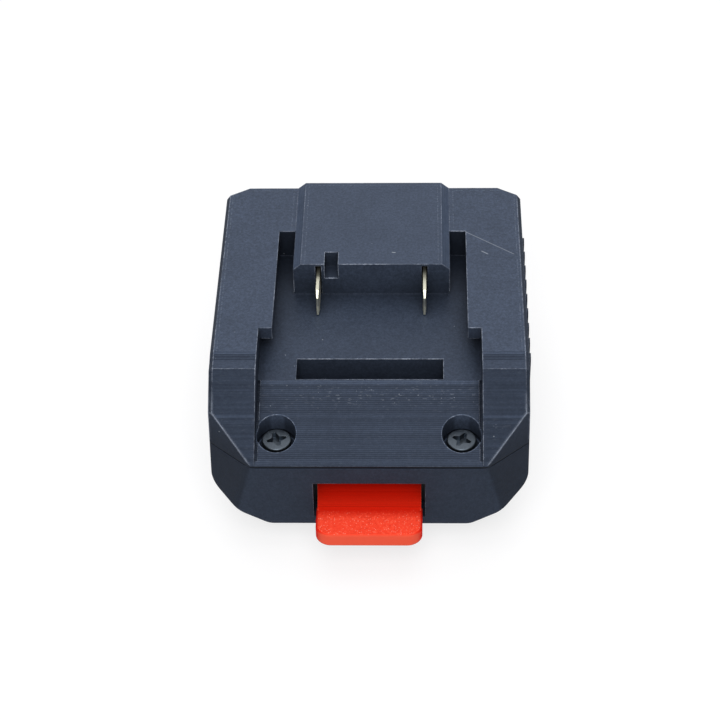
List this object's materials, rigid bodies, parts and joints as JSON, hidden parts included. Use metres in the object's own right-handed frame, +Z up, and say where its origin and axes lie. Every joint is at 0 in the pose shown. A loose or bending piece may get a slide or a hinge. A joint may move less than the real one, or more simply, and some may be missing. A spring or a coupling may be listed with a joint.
{
  "type": "tool battery adapter",
  "caption": "Printed slide-on battery adapter: battery slideway with blade contacts above, tool slide below, sprung red release button in front.",
  "frame": {"origin": "middle of the adapter in plan, on the flat underside of the tool slide that it rests on", "axes": "+Z up out of the battery side, +Y from the release button towards the back, +X to the right as seen from the button"},
  "size_m": [0.0755, 0.0952, 0.045],
  "materials": {
    "housing_plastic": "printed, fine layer lines",
    "button_plastic": "printed, rough grained top",
    "latch_plastic": "smooth",
    "carrier_plastic": "smooth",
    "blade_brass": "bright, lightly tinned",
    "contact_brass": "bright",
    "insert_brass": "knurled",
    "spring_steel": "drawn wire",
    "small_screw_steel": "zinc plated",
    "dark_screw_steel": "dark phosphate, satin",
    "lead_red": "satin",
    "lead_black": "satin",
    "sleeve_red": "shrunk tube",
    "sleeve_black": "shrunk tube"
  },
  "bodies": {
    "housing": {"upper_housing": "housing_plastic", "lower_housing": "housing_plastic", "latch_spring_left": "spring_steel", "latch_spring_right": "spring_steel", "battery_blade_left": "blade_brass", "battery_blade_right": "blade_brass", "blade_carrier": "carrier_plastic", "blade_carrier_screws": "small_screw_steel", "tool_contact_left": "contact_brass", "tool_contact_right": "contact_brass", "contact_holder": "carrier_plastic", "contact_holder_screws": "small_screw_steel", "lead_left": "lead_red", "lead_right": "lead_black", "joint_sleeves_left": "sleeve_red", "joint_sleeves_right": "sleeve_black", "front_screws": "dark_screw_steel", "front_thread_inserts": "insert_brass", "rear_screws": "dark_screw_steel", "rear_thread_inserts": "insert_brass"},
    "latch": {"release_button": "button_plastic", "latch_slider": "latch_plastic", "latch_screws": "small_screw_steel"}
  },
  "joints": [
    {"name": "release_slide", "type": "slide", "parent": "housing", "child": "latch", "axis": [0, 0, 1], "range_m": [0, 0.0045], "stiffness_N_per_m": 1050, "springref_m": -0.003, "deforming": ["latch_spring_left", "latch_spring_right"]}
  ]
}
